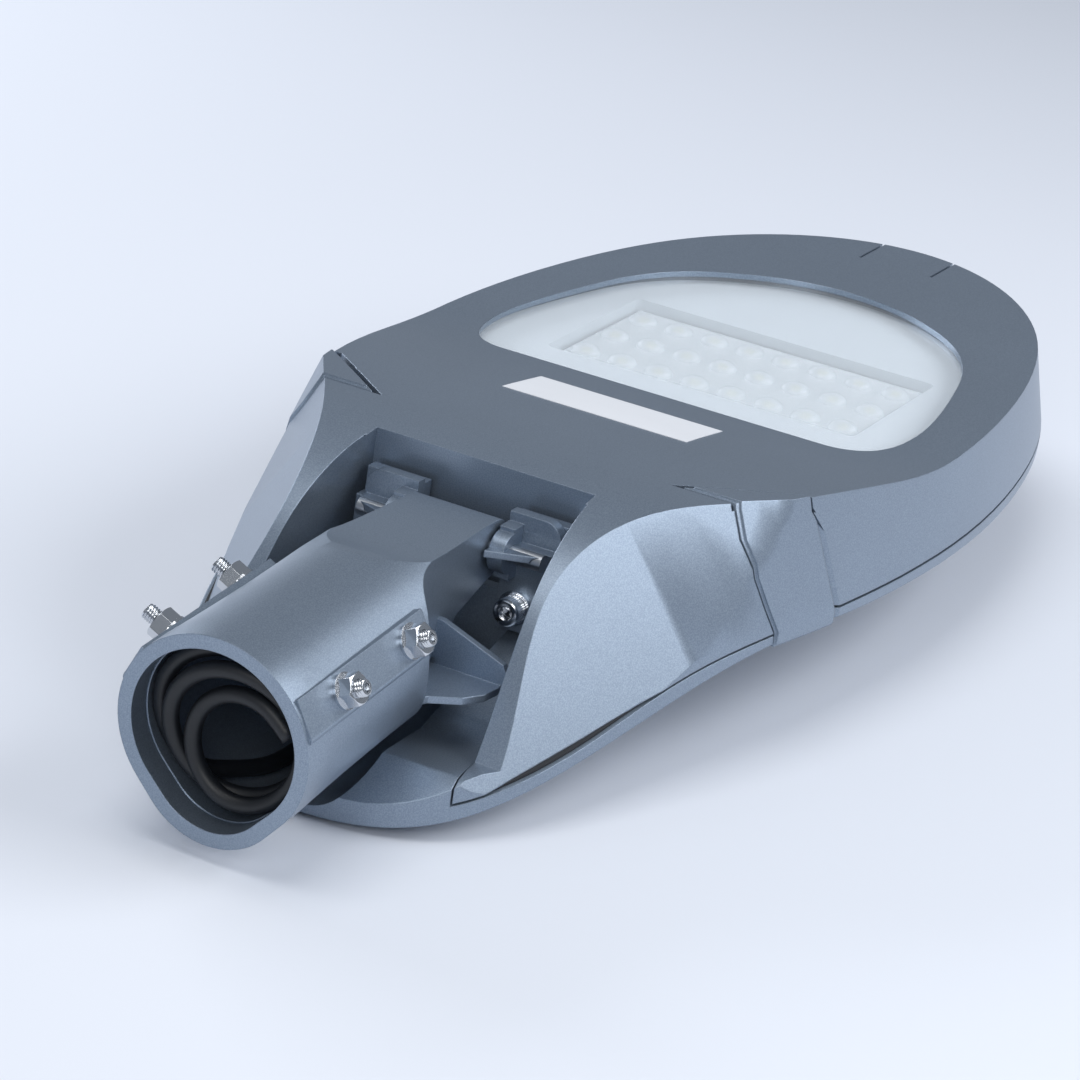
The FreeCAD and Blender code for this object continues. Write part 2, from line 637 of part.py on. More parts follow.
def makeSpigot():
    sections = [egg(x, mouthRadius - lost, 0, seatRadius - lost, seatDrop) for x, lost in tubeDraft]
    body = Part.makeLoft(sections[:2], True, True).fuse(Part.makeLoft(sections[1:], True, False))
    for side in (1, -1):
        low, high = (-padLow, padHigh) if side > 0 else (-padHigh, padLow)
        pad = box(2, tubeLength, low, high, 25, padRadius)
        edge = [edge for edge in pad.Edges if abs(edge.tangentAt(edge.FirstParameter).x) > 0.9
                and edge.CenterOfMass.z > padRadius - 1 and abs(edge.CenterOfMass.y) > padHigh - 0.1]
        pad = pad.makeFillet(3, edge)
        pad.rotate(V(0, 0, 0), V(1, 0, 0), -side * (90 - screwAngle))
        body = body.fuse(pad)
    body = body.fuse(makeNeck())
    drum = rod(V(drumS, -drumHalf, drumZ), V(0, 1, 0), drumRadius, 2 * drumHalf)
    body = body.fuse(drum)
    bore = Part.Face(egg(-1, boreRadius, 0, boreSeat, seatDrop)).extrude(V(tubeLength - 5, 0, 0))
    body = body.cut(bore)
    body = body.cut(box(tubeLength - 12, 168, -15, 15, -70, 24))
    register = Part.Face(egg(-1, registerRadius, 0, boreSeat + 0.4, seatDrop)).extrude(V(registerLength + 1, 0, 0))
    body = body.cut(register)
    body = body.cut(rod(V(drumS, -40, drumZ), V(0, 1, 0), shaftRadius + shaftFit, 80))
    body = tilted(body)
    for side in (1, -1):
        corners = [V(x, side * y, wingTop - wingThickness) for x, y in wingPlan]
        wing = Part.Face(Part.makePolygon(corners + corners[:1])).extrude(V(0, 0, wingThickness))
        corners = [V(ribX[0], side * y, z) for y, z in ribPoints]
        rib = Part.Face(Part.makePolygon(corners + corners[:1])).extrude(V(ribX[1] - ribX[0], 0, 0))
        body = body.fuse(wing.fuse(rib))
    for station in screwStations:
        for side in (1, -1):
            body = body.cut(onSpigot(rod(V(0, 0, 20), V(0, 0, 1), m8Radius + shaftFit, 40), station, side))
    return biggest(body)


def makeGrub(side):
    length = grubLengths[side]
    screw = rod(V(0, 0, boreRadius + 0.5), V(0, 0, 1), m8Radius, length)
    return screw.cut(hexagon(grubSocket, 6, boreRadius + 0.5 + length - 4))


def makeWasher(base):
    return rod(V(0, 0, base), V(0, 0, 1), m8WasherRadius, m8WasherHeight).cut(
        rod(V(0, 0, base - 1), V(0, 0, 1), m8Radius + 0.3, 4))


def makeNut(base):
    nut = hexagon(m8NutFlats, m8NutHeight, base)
    reach = m8NutFlats / math.sqrt(3)
    cone = Part.makeCone(reach - 1.2 + 2 * m8NutHeight, reach - 1.2, m8NutHeight, V(0, 0, base), V(0, 0, 1))
    return nut.common(cone).cut(rod(V(0, 0, base - 1), V(0, 0, 1), m8Radius + shaftFit, 12))


def makeCapScrew():
    shank = rod(V(0, 0, -13.6), V(0, 0, 1), m8Radius, 13.6)
    head = rod(V(0, 0, 0), V(0, 0, 1), m8HeadRadius, m8HeadHeight)
    head = head.makeChamfer(0.6, [edge for edge in head.Edges if edge.CenterOfMass.z > m8HeadHeight - 0.1][:1])
    return shank.fuse(head).cut(hexagon(m8Socket, 6, m8HeadHeight - 4.5))


def makeClampBlock(side):
    # Bearing for the pivot shaft, screwed to the bulkhead
    foot = box(bulkheadX - 8, bulkheadX, blockInner, blockOuter, clampFoot, pivotZ + 2)
    ear = box(pivotX, bulkheadX, blockInner, blockInner + 7.5, 20, bulkheadTop - 2)
    ear = ear.fuse(rod(V(pivotX, blockInner, pivotZ), V(0, 1, 0), 9.5, 7.5))
    flange = box(bulkheadX - 6, bulkheadX, blockInner, blockOuter - 3, 28, bulkheadTop + 2.5)
    corner = [edge for edge in flange.Edges if abs(edge.tangentAt(edge.FirstParameter).x) > 0.9
              and edge.CenterOfMass.z > bulkheadTop and edge.CenterOfMass.y > 40]
    flange = flange.makeFillet(9, corner)
    plan = [(pivotX - 13, blockInner), (pivotX - 1, blockOuter - 4), (bulkheadX, blockOuter - 4), (bulkheadX, blockInner)]
    corners = [V(x, y, 33) for x, y in plan]
    shelf = Part.Face(Part.makePolygon(corners + corners[:1])).extrude(V(0, 0, 3.2))
    block = foot.fuse(ear).fuse(flange).fuse(shelf)
    block = block.cut(rod(V(pivotX, 0, pivotZ), V(0, 1, 0), shaftRadius + shaftFit, 60))
    block = block.cut(rod(V(bulkheadX - 20, clampY, clampZ), V(1, 0, 0), m8Radius + 0.4, 40))
    return biggest(flip(block, side))


def makeLatch(side):
    # Base as thick as the pocket is deep, and a raised panel stepped in from its edges
    base = coverBlock(-0.1).cut(coverBlock(latchSink)).common(latchPrism(side, 0, 0))
    panel = coverBlock(latchSink - latchThickness).cut(coverBlock(0.2)).common(latchPrism(side, -latchStep, -latchStep))
    latch = base.fuse(panel).fuse(latchLug(side).common(coverBlock(latchSink - 0.5)))
    return biggest(latch.cut(latchPinRod(side, latchPinRadius + shaftFit, 40)))


def makeLabel():
    slab = coverUnder(-0.3).cut(coverUnder(0))
    return slab.common(box(labelX - 21, labelX + 21, -49, 49, 30, 80))


def makeGland():
    outside = rod(V(bulkheadX - 18, 0, glandZ), V(1, 0, 0), 8.2, 12)
    collar = along(hexagon(19, 6, 0), V(bulkheadX - 6, 0, glandZ), V(1, 0, 0))
    thread = rod(V(bulkheadX - 1, 0, glandZ), V(1, 0, 0), glandThread, 18)
    body = outside.fuse(collar).fuse(thread)
    return body.cut(rod(V(bulkheadX - 20, 0, glandZ), V(1, 0, 0), cableRadius + 0.05, 50))


def makeGlandNut():
    nut = along(hexagon(20, 4, 0), V(bulkheadX + bulkheadThickness + wall, 0, glandZ), V(1, 0, 0))
    return nut.cut(rod(V(bulkheadX, 0, glandZ), V(1, 0, 0), glandThread + shaftFit, 40))


def makeCoil():
    # Three turns put away in the mouth, lying against the left of the bore
    outer = boreRadius - 0.4
    inner = coilInner
    ring = rod(V(coilStart, 0, 0), V(1, 0, 0), outer, coilLength)
    return tilted(ring.cut(rod(V(0, -(outer - inner) / 2, -(outer - inner) / 3), V(1, 0, 0), inner, 90)))


def bentRod(points, radius, bend):
    # Round rod of straight runs joined by tangent arcs
    edges = []
    last = points[0]
    for index in range(1, len(points) - 1):
        before = (points[index - 1] - points[index]).normalize()
        after = (points[index + 1] - points[index]).normalize()
        half = before.getAngle(after) / 2
        reach = bend / math.tan(half)
        entry = points[index] + before * reach
        leave = points[index] + after * reach
        middle = points[index] + (before + after).normalize() * (bend / math.sin(half) - bend)
        edges.append(Part.makeLine(last, entry))
        edges.append(Part.Arc(entry, middle, leave).toShape())
        last = leave
    edges.append(Part.makeLine(last, points[-1]))
    profile = Part.Wire([Part.makeCircle(radius, points[0], points[1] - points[0])])
    return Part.Wire(edges).makePipeShell([profile], True, False)


def makeLead():
    # Lies in the bottom of the tube, leaves through the notch and runs straight into the gland
    depth = seatDrop + boreSeat - cableRadius - 0.3
    angle = math.radians(tubeTilt)
    begin = coilStart + coilLength + 1
    start = V(begin * math.cos(angle) + depth * math.sin(angle), 0, begin * math.sin(angle) - depth * math.cos(angle))
    rise = (glandZ - start.z) / math.tan(angle)
    corner = V(start.x + rise, 0, glandZ)
    end = V(bulkheadX + bulkheadThickness + wall + 7, 0, glandZ)
    return bentRod([start, corner, end], cableRadius, 60)


def makeCores():
    # Sleeved cores from the sheath's end up to the terminal block
    sheathEnd = bulkheadX + bulkheadThickness + wall + 7
    points = [V(sheathEnd, 0, glandZ), V(sheathEnd + 3.4, 0, glandZ), V(sheathEnd + 3.4, 0, gearTop + 8),
              V(terminalX + 4, 0, gearTop + 8)]
    return bentRod(points, 1.6, 3.2)


housing = makeHousing()
save(housing, "top_housing")
cover = makeCover()
save(cover, "cover")
save(makeGasket(), "housing_gasket")
pane, frame = makeGlass()
save(pane, "window_glass")
save(frame, "glass_seal")
save(makePanel(), "reflector_panel")
save(makeTray(), "led_tray")
save(makeBoard(), "led_board")
for row in range(lensRows):
    save(makeLensStrip(row), "lens_strip_" + str(row + 1))
for index, (x, y) in enumerate(boardScrews):
    save(panScrew(x, y, trayTop + boardThickness, m3Radius, 5), "board_screw_" + str(index + 1))
for index, (x, y) in enumerate(trayScrews):
    save(panScrew(x, y, trayTop, m4Radius, 12), "tray_screw_" + str(index + 1))
save(makeGearPlate(), "gear_plate")
for index, (x, y) in enumerate(gearScrews):
    save(panScrew(x, y, gearTop, m4Radius, 10), "gear_screw_" + str(index + 1))
save(makeDriver(), "driver")
save(makeTerminals(), "terminal_block")
save(makeSurge(), "surge_protector")
save(makeGland(), "cable_gland")
save(makeGlandNut(), "gland_nut")
save(makeSpigot(), "spigot")
save(rod(V(pivotX, -shaftHalf, pivotZ), V(0, 1, 0), shaftRadius, 2 * shaftHalf), "pivot_shaft")
screwIndex = 0
for station in screwStations:
    for side in (1, -1):
        screwIndex += 1
        save(onSpigot(makeWasher(padRadius), station, side), "grub_washer_" + str(screwIndex))
        save(onSpigot(makeNut(padRadius + m8WasherHeight), station, side), "grub_nut_" + str(screwIndex))
        save(onSpigot(makeGrub(side), station, side), "grub_screw_" + str(screwIndex))
for side, name in ((1, "left"), (-1, "right")):
    save(makeClampBlock(side), "clamp_block_" + name)
    seat = V(bulkheadX - 8, side * clampY, clampZ)
    save(along(makeWasher(0), seat, V(-1, 0, 0)), "clamp_washer_" + name)
    save(along(makeCapScrew(), seat - V(m8WasherHeight, 0, 0), V(-1, 0, 0)), "clamp_screw_" + name)
    save(makeLatch(side), "latch_" + name)
    save(latchPinRod(side, latchPinRadius, latchPinHalf), "latch_pin_" + name)
save(rod(V(hingeX, -20, hingeZ), V(0, 1, 0), hingePinRadius, 40), "hinge_pin")
save(makeLabel(), "rating_label")
save(makeCoil(), "cable_coil")
save(makeLead(), "supply_cable")
save(makeCores(), "core_sleeve")
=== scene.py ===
import math

import bmesh
import bpy
from mathutils import Matrix, Vector


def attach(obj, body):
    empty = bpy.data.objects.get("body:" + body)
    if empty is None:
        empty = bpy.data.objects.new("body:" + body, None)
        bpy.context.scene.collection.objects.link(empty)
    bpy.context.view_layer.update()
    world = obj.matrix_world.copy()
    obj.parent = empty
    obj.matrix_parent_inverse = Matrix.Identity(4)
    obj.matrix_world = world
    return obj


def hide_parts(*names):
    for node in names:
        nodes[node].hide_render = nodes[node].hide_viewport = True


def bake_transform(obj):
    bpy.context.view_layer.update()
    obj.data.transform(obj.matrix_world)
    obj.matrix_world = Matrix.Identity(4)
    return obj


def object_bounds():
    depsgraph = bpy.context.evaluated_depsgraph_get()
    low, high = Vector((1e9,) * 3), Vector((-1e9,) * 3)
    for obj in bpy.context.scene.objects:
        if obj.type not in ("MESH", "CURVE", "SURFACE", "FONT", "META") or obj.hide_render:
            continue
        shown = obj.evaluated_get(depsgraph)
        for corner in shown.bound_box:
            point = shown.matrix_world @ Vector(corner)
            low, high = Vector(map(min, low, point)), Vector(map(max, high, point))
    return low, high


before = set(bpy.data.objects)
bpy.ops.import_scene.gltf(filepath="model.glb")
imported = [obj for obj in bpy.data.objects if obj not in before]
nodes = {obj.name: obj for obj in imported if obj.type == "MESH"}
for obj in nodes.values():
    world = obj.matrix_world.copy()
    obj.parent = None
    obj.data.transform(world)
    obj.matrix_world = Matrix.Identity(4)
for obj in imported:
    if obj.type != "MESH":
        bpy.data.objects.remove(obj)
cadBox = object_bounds()
print("frame loaded:", len(nodes), "nodes")

# The head lies on its top housing with the lamp window up, in metres
# X runs from the spigot to the tip and Z is up
mm = 0.001


# Camera, solved from the photo's circles and edges

cameraValues = {
    "position": (-1.4325, -0.7877, 0.7488),
    "yaw": 24.54,      # degrees from +X towards +Y
    "pitch": -21.49,
    "roll": 8.23,
    "lens": 145.52,
    "sensor": 36,
    "near": 0.05,
    "far": 40,
}


def makeCamera(values):
    yaw = math.radians(values["yaw"])
    pitch = math.radians(values["pitch"])
    roll = math.radians(values["roll"])
    forward = Vector((math.cos(pitch) * math.cos(yaw), math.cos(pitch) * math.sin(yaw), math.sin(pitch)))
    level = forward.cross(Vector((0, 0, 1))).normalized()
    upright = level.cross(forward)
    right = level * math.cos(roll) + upright * math.sin(roll)
    up = upright * math.cos(roll) - level * math.sin(roll)
    data = bpy.data.cameras.new("photoCamera")
    data.sensor_width = values["sensor"]
    data.lens = values["lens"]
    data.clip_start = values["near"]
    data.clip_end = values["far"]
    camera = bpy.data.objects.new("photoCamera", data)
    bpy.context.scene.collection.objects.link(camera)
    turn = Matrix((right, up, -forward)).transposed().to_4x4()
    camera.matrix_world = Matrix.Translation(values["position"]) @ turn
    bpy.context.scene.camera = camera


makeCamera(cameraValues)
bpy.context.scene.view_settings.view_transform = "Standard"
print("camera placed")


# Small helpers

def toLinear(hexColour):
    channels = [int(hexColour[index:index + 2], 16) / 255 for index in (1, 3, 5)]
    return tuple(c / 12.92 if c <= 0.04045 else ((c + 0.055) / 1.055) ** 2.4 for c in channels) + (1.0,)


def addNode(tree, kind, settings=None, values=None, links=None):
    node = tree.nodes.new(kind)
    for key, value in (settings or {}).items():
        setattr(node, key, value)
    for key, value in (values or {}).items():
        node.inputs[key].default_value = value
    for key, socket in (links or {}).items():
        tree.links.new(socket, node.inputs[key])
    return node


def newMaterial(name):
    material = bpy.data.materials.new(name)
    material.use_nodes = True
    tree = material.node_tree
    tree.nodes.clear()
    output = addNode(tree, "ShaderNodeOutputMaterial")
    return material, tree, output


def meshFrom(name, mesh):
    data = bpy.data.meshes.new(name)
    mesh.to_mesh(data)
    mesh.free()
    return data


def meshPiece(name, data, body, material):
    piece = bpy.data.objects.new(name, data)
    bpy.context.scene.collection.objects.link(piece)
    piece.data.materials.append(material)
    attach(piece, body)
    return piece


def spigotAxes(tilt):
    # The directions along the spigot's tube and square to it
    angle = math.radians(tilt)
    return Vector((math.cos(angle), 0, math.sin(angle))), Vector((-math.sin(angle), 0, math.cos(angle)))


def joinRings(mesh, rings, smooth=False):
    for first, second in zip(rings, rings[1:]):
        for corner in range(len(first)):
            following = (corner + 1) % len(first)
            face = mesh.faces.new((first[corner], first[following], second[following], second[corner]))
            face.smooth = smooth


# The cable: out of the gland, along the bottom of the tube, then nearly three turns inside the mouth

spigotTilt = 5.2             # degrees, of the tube against the lamp window

cableValues = {
    "diameter": 7.6 * mm,
    "lead": [
        # the straight way out of the gland, seen from the side: X and Z in mm
        (194.0, -29.85),
        (170.0, -29.85),
        (135.0, -30.1),
    ],
    "bottom": [
        # along the bottom of the tube: distance from the mouth, sideways and upward, mm
        (94, 0, -39.2),
        (70, 0.5, -39.2),
        (52, 3, -38.4),
        (38, 10, -35.5),
    ],
    "turns": [
        # middle of the turn sideways and upward, its radius, then the distance
        # from the mouth at its top left and at its bottom right, mm
        (0.0, -0.5, 34.6, 14.0, 26.0),
        (-4.0, -3.0, 30.6, 9.0, 18.0),
        (-9.0, -8.5, 25.2, 12.5, 9.0),
        (-9.0, -8.0, 24.0, 15.0, 12.0),
    ],
    "count": 2.62,
    "startAngle": -58,       # degrees, where the first turn begins
    "leanAngle": 225,        # degrees, the side of a turn that lies deepest
    "changes": (0.60, 0.38),     # where in a turn it starts to become the next, and over how much of it
    "slack": 0.975,          # the smoothed line keeps this share of its points' radius
    "pointsPerTurn": 14,
    "sides": 20,
    "blend": ((0.190, 0, -0.030), (0.090, 0, -0.030)),     # two places on the cable's way, X, Y and Z in metres
}


def cableRoute(values):
    along, upward = spigotAxes(spigotTilt)

    def inTube(station, y, height):
        return (along * station + Vector((0, y, 0)) + upward * height) * mm

    points = [Vector((x * mm, 0, z * mm)) for x, z in values["lead"]]
    points += [inTube(*place) for place in values["bottom"]]
    perTurn = values["pointsPerTurn"]
    turns = values["turns"]
    starts, lasts = values["changes"]
    for index in range(int(values["count"] * perTurn) + 1):
        around = index / perTurn
        angle = math.radians(values["startAngle"] + 360 * around)
        part = min(max((around % 1 - starts) / lasts, 0), 1)
        first, second = turns[int(around)], turns[int(around) + 1]
        y, z, radius, near, far = [a + (b - a) * part for a, b in zip(first, second)]
        lean = math.cos(angle - math.radians(values["leanAngle"]))
        station = (near + far) / 2 + (far - near) / 2 * lean
        reach = radius / values["slack"]
        points.append(inTube(station, y + reach * math.cos(angle), z + reach * math.sin(angle)))
    return points


def smoothLine(route):
    # The points of the line that the cable follows, from a spline with no thickness
    curve = bpy.data.curves.new("cableLine", "CURVE")
    curve.dimensions = "3D"
    spline = curve.splines.new("NURBS")
    spline.points.add(len(route) - 1)
    for point, place in zip(spline.points, route):
        point.co = (*place, 1)
    spline.order_u = 3
    spline.use_endpoint_u = True
    spline.resolution_u = 6
    line = bpy.data.objects.new("cableLine", curve)
    bpy.context.scene.collection.objects.link(line)
    bpy.context.view_layer.update()
    mesh = bpy.data.meshes.new_from_object(line)
    places = [vertex.co.copy() for vertex in mesh.vertices]
    bpy.data.objects.remove(line)
    bpy.data.meshes.remove(mesh)
    return places


def tubeMesh(name, places, radius, sides):
    mesh = bmesh.new()
    rings = []
    direction = (places[1] - places[0]).normalized()
    outward = direction.orthogonal().normalized()
    for index, place in enumerate(places):
        step = (places[min(index + 1, len(places) - 1)] - places[max(index - 1, 0)]).normalized()
        outward = direction.rotation_difference(step) @ outward
        direction = step
        across = direction.cross(outward)
        ring = []
        for corner in range(sides):
            angle = 2 * math.pi * corner / sides
            offset = outward * math.cos(angle) + across * math.sin(angle)
            ring.append(mesh.verts.new(place + offset * radius))
        rings.append(ring)
    joinRings(mesh, rings, smooth=True)
    mesh.faces.new(list(reversed(rings[0])))
    mesh.faces.new(rings[-1])
    return meshFrom(name, mesh)


def makeCable(values):
    places = smoothLine(cableRoute(values))
    data = tubeMesh("supplyCable", places, values["diameter"] / 2, values["sides"])
    cable = bpy.data.objects.new("supplyCable", data)
    bpy.context.scene.collection.objects.link(cable)
    length = sum((second - first).length for first, second in zip(places, places[1:]))
    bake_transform(cable)
    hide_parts("cable_coil", "supply_cable")
    return cable, length


cable, cableLength = makeCable(cableValues)
print("cable laid:", round(cableLength, 3), "m")


# Materials

castPaint = {
    "colour": "#96A3B2",
    "shade": "#8491A1",
    "metallic": 0.74,
    "roughness": 0.36,
    "roughnessDrift": 0.05,
    "coat": 0.10,
    "coatRoughness": 0.30,
    "flake": 0.6,         # mm, drawn coarse so that it shows
    "flakeContrast": (0.35, 0.68),
    "flakeBump": 0.16,
    "cloud": 90,          # mm, slow drift of the coat's tone
    "cloudTone": (0.94, 1.06),
    "peel": 3.0,          # mm, orange peel of the powder coat
    "peelBump": 0.12,
    "edge": 0.7,          # mm, radius that the die leaves on edges
}


def powderCoatedCastAluminium(values, name):
    # Die-cast body with metallic polyester powder: fine bright flakes, a soft sheen
    # and slightly rounded edges
    material, tree, output = newMaterial(name)
    place = addNode(tree, "ShaderNodeTexCoord")
    flakes = addNode(tree, "ShaderNodeTexNoise", values={"Scale": 1 / (values["flake"] * mm), "Detail": 1.0},
                     links={"Vector": place.outputs["Object"]})
    clouds = addNode(tree, "ShaderNodeTexNoise", values={"Scale": 1 / (values["cloud"] * mm), "Detail": 2.0},
                     links={"Vector": place.outputs["Object"]})
    lowest, highest = values["flakeContrast"]
    spread = addNode(tree, "ShaderNodeMapRange", values={"From Min": lowest, "From Max": highest},
                     links={"Value": flakes.outputs["Fac"]})
    mixed = addNode(tree, "ShaderNodeMix", {"data_type": "RGBA"},
                    {6: toLinear(values["shade"]), 7: toLinear(values["colour"])}, {0: spread.outputs[0]})
    darkest, lightest = values["cloudTone"]
    tone = addNode(tree, "ShaderNodeMapRange", values={"To Min": darkest, "To Max": lightest},
                   links={"Value": clouds.outputs["Fac"]})
    colour = addNode(tree, "ShaderNodeHueSaturation",
                     links={"Color": mixed.outputs[2], "Value": tone.outputs[0]})
    smoothest = values["roughness"] - values["roughnessDrift"]
    roughest = values["roughness"] + values["roughnessDrift"]
    rough = addNode(tree, "ShaderNodeMapRange", values={"To Min": smoothest, "To Max": roughest},
                    links={"Value": flakes.outputs["Fac"]})
    peel = addNode(tree, "ShaderNodeTexNoise", values={"Scale": 1 / (values["peel"] * mm), "Detail": 0.0},
                   links={"Vector": place.outputs["Object"]})
    edge = addNode(tree, "ShaderNodeBevel", {"samples": 4}, {"Radius": values["edge"] * mm})
    waves = addNode(tree, "ShaderNodeBump", values={"Strength": values["peelBump"], "Distance": 0.2 * mm},
                    links={"Height": peel.outputs["Fac"], "Normal": edge.outputs["Normal"]})
    grain = addNode(tree, "ShaderNodeBump", values={"Strength": values["flakeBump"], "Distance": 0.1 * mm},
                    links={"Height": flakes.outputs["Fac"], "Normal": waves.outputs["Normal"]})
    shader = addNode(tree, "ShaderNodeBsdfPrincipled",
                     values={"Metallic": values["metallic"], "Coat Weight": values["coat"],
                             "Coat Roughness": values["coatRoughness"]},
                     links={"Base Color": colour.outputs["Color"], "Roughness": rough.outputs[0],
                            "Normal": grain.outputs["Normal"]})
    tree.links.new(shader.outputs[0], output.inputs["Surface"])
    return material


bodyPaint = powderCoatedCastAluminium(castPaint, "powderCoatedCastAluminium")

metalValues = {
    # marks is the spacing of the tool marks and edge the rounding of edges, both in mm
    "nickel": {"colour": "#D3D6DA", "roughness": 0.13, "marks": 0.5, "edge": 0.25},
    "zinc": {"colour": "#B9BDC2", "roughness": 0.30, "marks": 0.8, "edge": 0.25},
    "tray": {"colour": "#A4A9AF", "roughness": 0.38, "marks": 1.4, "edge": 0.25},
}


def bareMetal(values, name):
    # Plated steel and unpainted cast aluminium: bright, broken by faint tool marks
    material, tree, output = newMaterial(name)
    place = addNode(tree, "ShaderNodeTexCoord")
    marks = addNode(tree, "ShaderNodeTexNoise", values={"Scale": 1 / (values["marks"] * mm), "Detail": 3.0},
                    links={"Vector": place.outputs["Object"]})
    rough = addNode(tree, "ShaderNodeMapRange",
                    values={"To Min": values["roughness"] - 0.06, "To Max": values["roughness"] + 0.10},
                    links={"Value": marks.outputs["Fac"]})
    edge = addNode(tree, "ShaderNodeBevel", {"samples": 4}, {"Radius": values["edge"] * mm})
    bump = addNode(tree, "ShaderNodeBump", values={"Strength": 0.15, "Distance": 0.1 * mm},
                   links={"Height": marks.outputs["Fac"], "Normal": edge.outputs["Normal"]})
    shader = addNode(tree, "ShaderNodeBsdfPrincipled",
                     values={"Metallic": 1.0, "Base Color": toLinear(values["colour"])},
                     links={"Roughness": rough.outputs[0], "Normal": bump.outputs["Normal"]})
    tree.links.new(shader.outputs[0], output.inputs["Surface"])
    return material


nickelPlatedSteel = bareMetal(metalValues["nickel"], "nickelPlatedSteel")
zincPlatedSteel = bareMetal(metalValues["zinc"], "zincPlatedSteel")
castTrayAluminium = bareMetal(metalValues["tray"], "castTrayAluminium")

plasticDrift = 40     # mm, slow drift of the tone of all plastics
plasticEdge = 0.4     # mm, rounding of their edges

plasticValues = {
    # grain is the size of the surface texture in mm, and depth its strength
    "reflector": {"colour": "#F6F8FB", "roughness": 0.42, "grain": 1.2, "depth": 0.06},
    "board": {"colour": "#F8F8F6", "roughness": 0.35, "grain": 1.5, "depth": 0.04},
    "vinyl": {"colour": "#E4E6EA", "roughness": 0.34, "grain": 2.5, "depth": 0.05},
    "case": {"colour": "#1B1D20", "roughness": 0.40, "grain": 0.8, "depth": 0.20},
    "polyamide": {"colour": "#6F7479", "roughness": 0.48, "grain": 0.9, "depth": 0.18},
    "silicone": {"colour": "#232529", "roughness": 0.62, "grain": 0.8, "depth": 0.15},
    "sheath": {"colour": "#15181D", "roughness": 0.46, "grain": 0.7, "depth": 0.20},
    "phosphor": {"colour": "#F2E9BE", "roughness": 0.45, "grain": 0.8, "depth": 0.10},
}


def mouldedPlastic(values, name):
    # Moulded or extruded plastic and rubber: an even colour with a faint drift,
    # and a fine texture from the tool
    material, tree, output = newMaterial(name)
    place = addNode(tree, "ShaderNodeTexCoord")
    grain = addNode(tree, "ShaderNodeTexNoise", values={"Scale": 1 / (values["grain"] * mm), "Detail": 2.0},
                    links={"Vector": place.outputs["Object"]})
    drift = addNode(tree, "ShaderNodeTexNoise", values={"Scale": 1 / (plasticDrift * mm)},
                    links={"Vector": place.outputs["Object"]})
    tone = addNode(tree, "ShaderNodeMapRange", values={"To Min": 0.95, "To Max": 1.04},
                   links={"Value": drift.outputs["Fac"]})
    colour = addNode(tree, "ShaderNodeHueSaturation", values={"Color": toLinear(values["colour"])},
                     links={"Value": tone.outputs[0]})
    rough = addNode(tree, "ShaderNodeMapRange",
                    values={"To Min": values["roughness"] - 0.05, "To Max": values["roughness"] + 0.05},
                    links={"Value": grain.outputs["Fac"]})
    edge = addNode(tree, "ShaderNodeBevel", {"samples": 4}, {"Radius": plasticEdge * mm})
    bump = addNode(tree, "ShaderNodeBump", values={"Strength": values["depth"], "Distance": 0.2 * mm},
                   links={"Height": grain.outputs["Fac"], "Normal": edge.outputs["Normal"]})
    shader = addNode(tree, "ShaderNodeBsdfPrincipled", values={"IOR": 1.5},
                     links={"Base Color": colour.outputs["Color"], "Roughness": rough.outputs[0],
                            "Normal": bump.outputs["Normal"]})
    tree.links.new(shader.outputs[0], output.inputs["Surface"])
    return material


whiteReflector = mouldedPlastic(plasticValues["reflector"], "mouldedWhitePolycarbonate")
solderMask = mouldedPlastic(plasticValues["board"], "whiteSolderMask")
labelVinyl = mouldedPlastic(plasticValues["vinyl"], "printedVinylBlank")
driverCase = mouldedPlastic(plasticValues["case"], "mouldedBlackAbs")
greyPolyamide = mouldedPlastic(plasticValues["polyamide"], "mouldedGreyPolyamide")
siliconeSeal = mouldedPlastic(plasticValues["silicone"], "extrudedSiliconeRubber")
rubberSheath = mouldedPlastic(plasticValues["sheath"], "extrudedCableRubber")
ledPhosphor = mouldedPlastic(plasticValues["phosphor"], "ledPhosphorSilicone")

clearValues = {
    # clear is the share of the light that goes through, the rest makes the faint milky look
    "glass": {"colour": "#F8FBFD", "roughness": 0.03, "ior": 1.52, "shadow": "#F6F9FB", "clear": 0.90},
    "lens": {"colour": "#FFFFFF", "roughness": 0.12, "ior": 1.49, "shadow": "#FAFBFC", "clear": 0.55},
}


def clearMaterial(values, name):
    # Clear glass and acrylic. Shadow rays pass straight through, so that what lies behind stays lit
    material, tree, output = newMaterial(name)
    shader = addNode(tree, "ShaderNodeBsdfPrincipled",
                     values={"Base Color": toLinear(values["colour"]), "Roughness": values["roughness"],
                             "IOR": values["ior"], "Transmission Weight": values["clear"]})
    passing = addNode(tree, "ShaderNodeBsdfTransparent", values={"Color": toLinear(values["shadow"])})
    ray = addNode(tree, "ShaderNodeLightPath")
    shadowOrDiffuse = addNode(tree, "ShaderNodeMath", {"operation": "MAXIMUM"},
                              links={0: ray.outputs["Is Shadow Ray"], 1: ray.outputs["Is Diffuse Ray"]})
    mixed = addNode(tree, "ShaderNodeMixShader",
                    links={0: shadowOrDiffuse.outputs[0], 1: shader.outputs[0], 2: passing.outputs[0]})
    tree.links.new(mixed.outputs[0], output.inputs["Surface"])
    return material


temperedFloatGlass = clearMaterial(clearValues["glass"], "temperedFloatGlass")
mouldedAcrylic = clearMaterial(clearValues["lens"], "mouldedAcrylic")
cable.data.materials.append(rubberSheath)
print("materials made")


# Finishes for the CAD nodes

